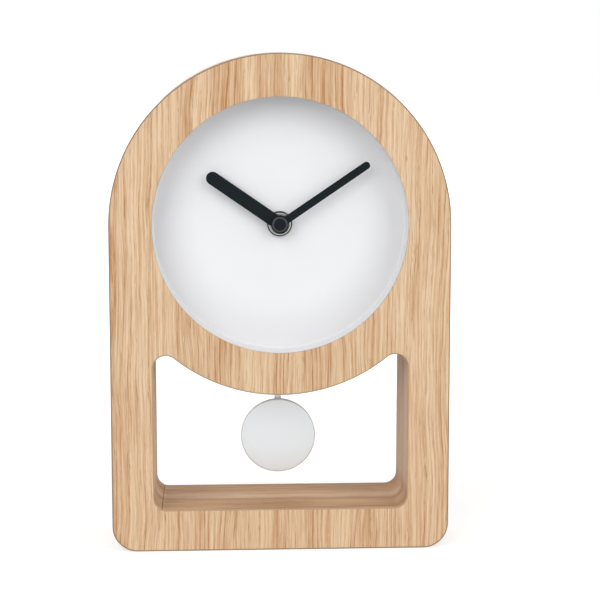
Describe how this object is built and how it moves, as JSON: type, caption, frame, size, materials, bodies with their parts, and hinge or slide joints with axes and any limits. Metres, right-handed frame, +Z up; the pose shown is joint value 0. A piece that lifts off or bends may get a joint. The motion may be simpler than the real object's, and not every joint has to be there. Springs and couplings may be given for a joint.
{
  "type": "desk pendulum clock",
  "caption": "Free-standing arched desk clock in light veneered board, with a recessed plain dial, battery movement, and a disc pendulum swinging in an open window below",
  "frame": {"origin": "middle of the base, on the surface that the clock stands on", "axes": "X to the right, Y from the dial to the back, Z up"},
  "size_m": [0.16, 0.05, 0.235],
  "materials": {
    "oak_veneer": "open-grain satin lacquer",
    "lining_veneer": "open-grain satin lacquer",
    "board_core": "raw fibreboard",
    "dial_white": "matt white",
    "hand_black": "satin black",
    "nickel": "turned nickel plate",
    "brass": "turned",
    "gasket_rubber": "matt",
    "housing_black": "fine spark texture",
    "plate_white": "moulded",
    "wheel_white": "moulded",
    "steel": "bright",
    "magnet": "sintered",
    "copper_wire": "enamelled wire",
    "bobbin_plastic": "moulded",
    "board_green": "solder mask",
    "chip_black": "epoxy",
    "crystal_metal": "drawn can",
    "battery_wrap": "printed film over a metal can",
    "contact_nickel": "nickel plate",
    "knob_black": "moulded",
    "hanger_plastic": "moulded",
    "pendulum_white": "satin white"
  },
  "bodies": {
    "case": {"front_veneer": "oak_veneer", "back_veneer": "oak_veneer", "edge_veneer": "oak_veneer", "base_veneer": "oak_veneer", "window_lining": "lining_veneer", "front_layer": "board_core", "dial_board": "board_core", "rear_layer": "board_core", "dial_dish": "dial_white", "mounting_nut": "nickel", "threaded_bush": "brass", "gasket": "gasket_rubber", "movement_shell": "housing_black", "rear_cover": "housing_black", "mid_plate": "plate_white", "cover_screws": "steel", "pivot_pin": "steel", "stator": "steel", "motor_winding": "copper_wire", "drive_winding": "copper_wire", "motor_bobbin": "bobbin_plastic", "drive_bobbin": "bobbin_plastic", "circuit_board": "board_green", "driver_board": "board_green", "chip_cover": "chip_black", "crystal_can": "crystal_metal", "positive_contact": "contact_nickel", "negative_contact": "contact_nickel"},
    "hour_hand": {"hour_hand": "hand_black", "hour_wheel": "wheel_white"},
    "minute_hand": {"minute_hand": "hand_black", "hand_cap": "hand_black", "minute_arbor": "brass", "friction_collar": "brass"},
    "minute_wheel": {"minute_wheel": "wheel_white"},
    "setting_knob": {"setting_knob": "knob_black", "setting_pinion": "wheel_white"},
    "centre_wheel": {"centre_wheel": "wheel_white"},
    "third_wheel": {"third_wheel": "wheel_white"},
    "seconds_wheel": {"seconds_wheel": "wheel_white"},
    "intermediate_wheel": {"intermediate_wheel": "wheel_white"},
    "rotor": {"rotor_pinion": "wheel_white", "rotor_magnet": "magnet"},
    "pendulum": {"pendulum_hanger": "hanger_plastic", "hanger_magnet": "magnet", "pendulum_rod": "pendulum_white", "pendulum_bob": "pendulum_white"},
    "battery": {"battery_cell": "battery_wrap"}
  },
  "joints": [
    {"name": "minute_hand_turn", "type": "hinge", "parent": "case", "child": "minute_hand", "pos_m": [0, 0, 0.155], "axis": [0, 1, 0], "continuous": true},
    {"name": "hour_hand_turn", "type": "hinge", "parent": "case", "child": "hour_hand", "pos_m": [0, 0, 0.155], "axis": [0, 1, 0], "continuous": true},
    {"name": "minute_wheel_turn", "type": "hinge", "parent": "case", "child": "minute_wheel", "pos_m": [0.00902, 0, 0.15172], "axis": [0, 1, 0], "continuous": true},
    {"name": "setting_knob_turn", "type": "hinge", "parent": "case", "child": "setting_knob", "pos_m": [0.01754, 0, 0.14728], "axis": [0, 1, 0], "continuous": true},
    {"name": "rotor_turn", "type": "hinge", "parent": "case", "child": "rotor", "pos_m": [0.00507, 0, 0.14012], "axis": [0, 1, 0], "continuous": true},
    {"name": "intermediate_wheel_turn", "type": "hinge", "parent": "case", "child": "intermediate_wheel", "pos_m": [-0.00084, 0, 0.14117], "axis": [0, 1, 0], "continuous": true},
    {"name": "seconds_wheel_turn", "type": "hinge", "parent": "case", "child": "seconds_wheel", "pos_m": [-0.00842, 0, 0.1425], "axis": [0, 1, 0], "continuous": true},
    {"name": "third_wheel_turn", "type": "hinge", "parent": "case", "child": "third_wheel", "pos_m": [-0.00998, 0, 0.15137], "axis": [0, 1, 0], "continuous": true},
    {"name": "centre_wheel_turn", "type": "hinge", "parent": "case", "child": "centre_wheel", "pos_m": [0, 0, 0.155], "axis": [0, 1, 0], "continuous": true},
    {"name": "pendulum_swing", "type": "hinge", "parent": "case", "child": "pendulum", "pos_m": [0, 0, 0.151], "axis": [0, 1, 0], "range_deg": [-10, 10]},
    {"name": "battery_slide", "type": "slide", "parent": "case", "child": "battery", "axis": [0, 1, 0], "range_m": [0, 0.02]}
  ],
  "couplings": [
    {"joint": "hour_hand_turn", "follows": "minute_hand_turn", "ratio": 0.083333},
    {"joint": "minute_wheel_turn", "follows": "minute_hand_turn", "ratio": -0.33333},
    {"joint": "setting_knob_turn", "follows": "minute_hand_turn", "ratio": 1},
    {"joint": "intermediate_wheel_turn", "follows": "rotor_turn", "ratio": -0.2},
    {"joint": "seconds_wheel_turn", "follows": "rotor_turn", "ratio": 0.033333},
    {"joint": "third_wheel_turn", "follows": "rotor_turn", "ratio": -0.0041667},
    {"joint": "centre_wheel_turn", "follows": "rotor_turn", "ratio": 0.00055556}
  ]
}
